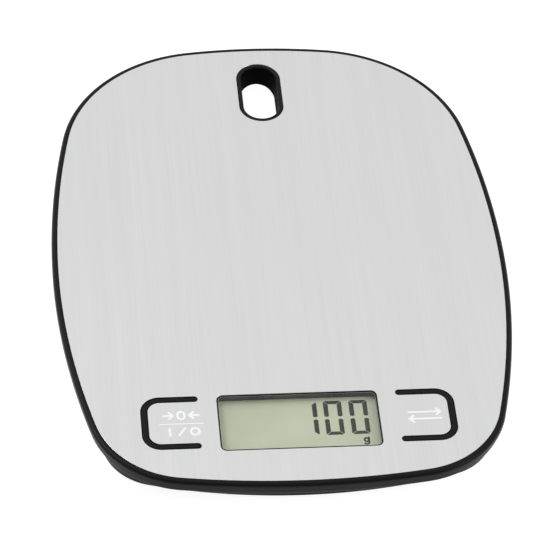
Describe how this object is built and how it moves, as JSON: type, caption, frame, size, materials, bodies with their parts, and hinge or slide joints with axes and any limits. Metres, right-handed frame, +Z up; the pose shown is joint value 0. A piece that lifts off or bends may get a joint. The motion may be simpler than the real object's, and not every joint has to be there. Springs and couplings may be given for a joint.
{
  "type": "digital gram scale",
  "caption": "Slim digital scale: brushed steel weighing plate on a black plastic body, flexing keys beside a liquid crystal display, hanging slot, load cell feet and a sliding battery cover.",
  "frame": {"origin": "on the table, under the middle of the scale's outline", "axes": "+Z up through the weighing plate, -Y towards the display end, +Y towards the hanging slot, +X to the user's right"},
  "size_m": [0.1522, 0.2034, 0.0125],
  "materials": {
    "brushed_steel_plate": "brushed along the scale's length",
    "black_abs": "fine satin",
    "adhesive_tape": "matt",
    "clear_acrylic": "clear polished",
    "white_abs": "satin",
    "lcd_glass": "grey-green reflective liquid crystal",
    "black_silicone": "matt",
    "circuit_board": "green solder mask",
    "black_epoxy": "semi-gloss",
    "nickel_plate": "bright nickel plate",
    "spring_steel": "rolled",
    "foot_rubber": "matt",
    "zinc_screw": "zinc plated",
    "grey_wire": "satin",
    "red_wire": "satin",
    "black_wire": "satin"
  },
  "bodies": {
    "scale_body": {"steel_plate": "brushed_steel_plate", "adhesive_sheet": "adhesive_tape", "upper_shell": "black_abs", "lower_shell": "black_abs", "display_window": "clear_acrylic", "lcd_frame": "white_abs", "lcd_reflector": "white_abs", "lcd_rear_glass": "lcd_glass", "lcd_front_glass": "lcd_glass", "zebra_strip": "black_silicone", "main_pcb": "circuit_board", "controller_chip": "black_epoxy", "tare_power_switch_body": "black_abs", "unit_switch_body": "black_abs", "coin_cell_a": "nickel_plate", "coin_cell_b": "nickel_plate", "contact_negative_a": "nickel_plate", "contact_negative_b": "nickel_plate", "contact_positive_a": "nickel_plate", "contact_positive_b": "nickel_plate", "load_cell_frame_front_left": "spring_steel", "load_cell_retainer_front_left": "white_abs", "load_cell_lead_front_left": "grey_wire", "load_cell_frame_front_right": "spring_steel", "load_cell_retainer_front_right": "white_abs", "load_cell_lead_front_right": "grey_wire", "load_cell_frame_rear_left": "spring_steel", "load_cell_retainer_rear_left": "white_abs", "load_cell_lead_rear_left": "grey_wire", "load_cell_frame_rear_right": "spring_steel", "load_cell_retainer_rear_right": "white_abs", "load_cell_lead_rear_right": "grey_wire", "case_screw_1": "zinc_screw", "case_screw_2": "zinc_screw", "case_screw_3": "zinc_screw", "case_screw_4": "zinc_screw", "case_screw_5": "zinc_screw", "case_screw_6": "zinc_screw", "battery_lead_red": "red_wire", "battery_lead_black": "black_wire"},
    "tare_power_key": {"tare_power_key": "brushed_steel_plate", "tare_power_key_plunger": "black_abs"},
    "unit_key": {"unit_key": "brushed_steel_plate", "unit_key_plunger": "black_abs"},
    "tare_power_switch_button": {"tare_power_switch_button": "white_abs"},
    "unit_switch_button": {"unit_switch_button": "white_abs"},
    "battery_cover": {"battery_cover": "black_abs"},
    "foot_front_left": {"foot_pad_front_left": "foot_rubber", "foot_cup_front_left": "black_abs", "load_cell_tongue_front_left": "spring_steel"},
    "foot_front_right": {"foot_pad_front_right": "foot_rubber", "foot_cup_front_right": "black_abs", "load_cell_tongue_front_right": "spring_steel"},
    "foot_rear_left": {"foot_pad_rear_left": "foot_rubber", "foot_cup_rear_left": "black_abs", "load_cell_tongue_rear_left": "spring_steel"},
    "foot_rear_right": {"foot_pad_rear_right": "foot_rubber", "foot_cup_rear_right": "black_abs", "load_cell_tongue_rear_right": "spring_steel"}
  },
  "joints": [
    {"name": "tare_power_key_press", "type": "hinge", "parent": "scale_body", "child": "tare_power_key", "pos_m": [-0.0333, -0.0744, 0.0121], "axis": [0, -1, 0], "range_deg": [0, 1.6], "stiffness_Nm_per_rad": 0.4},
    {"name": "unit_key_press", "type": "hinge", "parent": "scale_body", "child": "unit_key", "pos_m": [0.0333, -0.0744, 0.0121], "axis": [0, 1, 0], "range_deg": [0, 1.6], "stiffness_Nm_per_rad": 0.4},
    {"name": "tare_power_switch_click", "type": "slide", "parent": "scale_body", "child": "tare_power_switch_button", "axis": [0, 0, -1], "range_m": [0, 0.0004]},
    {"name": "unit_switch_click", "type": "slide", "parent": "scale_body", "child": "unit_switch_button", "axis": [0, 0, -1], "range_m": [0, 0.0004]},
    {"name": "battery_cover_slide", "type": "slide", "parent": "scale_body", "child": "battery_cover", "axis": [1, 0, 0], "range_m": [0, 0.04]},
    {"name": "foot_press_front_left", "type": "slide", "parent": "scale_body", "child": "foot_front_left", "axis": [0, 0, 1], "range_m": [0, 0.0004], "stiffness_N_per_m": 200, "springref_m": -0.006},
    {"name": "foot_press_front_right", "type": "slide", "parent": "scale_body", "child": "foot_front_right", "axis": [0, 0, 1], "range_m": [0, 0.0004], "stiffness_N_per_m": 200, "springref_m": -0.006},
    {"name": "foot_press_rear_left", "type": "slide", "parent": "scale_body", "child": "foot_rear_left", "axis": [0, 0, 1], "range_m": [0, 0.0004], "stiffness_N_per_m": 200, "springref_m": -0.006},
    {"name": "foot_press_rear_right", "type": "slide", "parent": "scale_body", "child": "foot_rear_right", "axis": [0, 0, 1], "range_m": [0, 0.0004], "stiffness_N_per_m": 200, "springref_m": -0.006}
  ],
  "couplings": [
    {"joint": "tare_power_switch_click", "follows": "tare_power_key_press", "m_per_rad": 0.0115},
    {"joint": "unit_switch_click", "follows": "unit_key_press", "m_per_rad": 0.0115}
  ]
}
